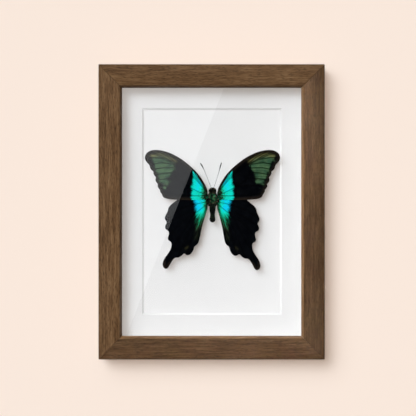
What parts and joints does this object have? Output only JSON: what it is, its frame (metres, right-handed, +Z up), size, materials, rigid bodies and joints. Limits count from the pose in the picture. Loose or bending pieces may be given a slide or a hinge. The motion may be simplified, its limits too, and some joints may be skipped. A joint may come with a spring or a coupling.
{
  "type": "framed butterfly specimen",
  "caption": "Spread swallowtail butterfly specimen on white board behind a bevelled mat and glass, in a deep dark brown wooden box frame that stands or hangs.",
  "frame": {"origin": "middle of the frame's underside: centred left to right and front to back, at the bottom rail's lower face", "axes": "+Z up along the frame's height, +X to the viewer's right, -Y out of the glass towards the viewer, +Y towards the wall"},
  "size_m": [0.1598, 0.038, 0.2085],
  "materials": {
    "stained_wood": "dark brown stain, satin, fine straight grain along each rail",
    "clear_glass": "clear float glass, polished",
    "white_card": "matt white board with a smooth paper face",
    "hardboard": "brown hardboard, smooth side out",
    "zinc_steel": "zinc plated, rolled",
    "wing_scales": "black scales with a turquoise band at the wing bases and dark green patches near the wing tips",
    "body_fur": "black, dusted with green hair scales"
  },
  "bodies": {
    "root": {"rail_top": "stained_wood", "rail_bottom": "stained_wood", "rail_left": "stained_wood", "rail_right": "stained_wood", "v_nail_top": "zinc_steel", "v_nail_bottom": "zinc_steel", "v_nail_left": "zinc_steel", "v_nail_right": "zinc_steel", "glass_pane": "clear_glass", "spacer_top": "white_card", "spacer_bottom": "white_card", "spacer_left": "white_card", "spacer_right": "white_card", "window_mat": "white_card", "mounting_board": "white_card", "specimen_pad": "white_card", "butterfly_body": "body_fur", "antenna_left": "body_fur", "antenna_right": "body_fur", "forewing_left": "wing_scales", "forewing_right": "wing_scales", "hindwing_left": "wing_scales", "hindwing_right": "wing_scales", "backing_board": "hardboard", "frame_point_top": "zinc_steel", "frame_point_bottom": "zinc_steel", "frame_point_left_1": "zinc_steel", "frame_point_left_2": "zinc_steel", "frame_point_right_1": "zinc_steel", "frame_point_right_2": "zinc_steel", "hanger_plate": "zinc_steel", "hanger_rivet_left": "zinc_steel", "hanger_rivet_right": "zinc_steel"}
  },
  "joints": []
}
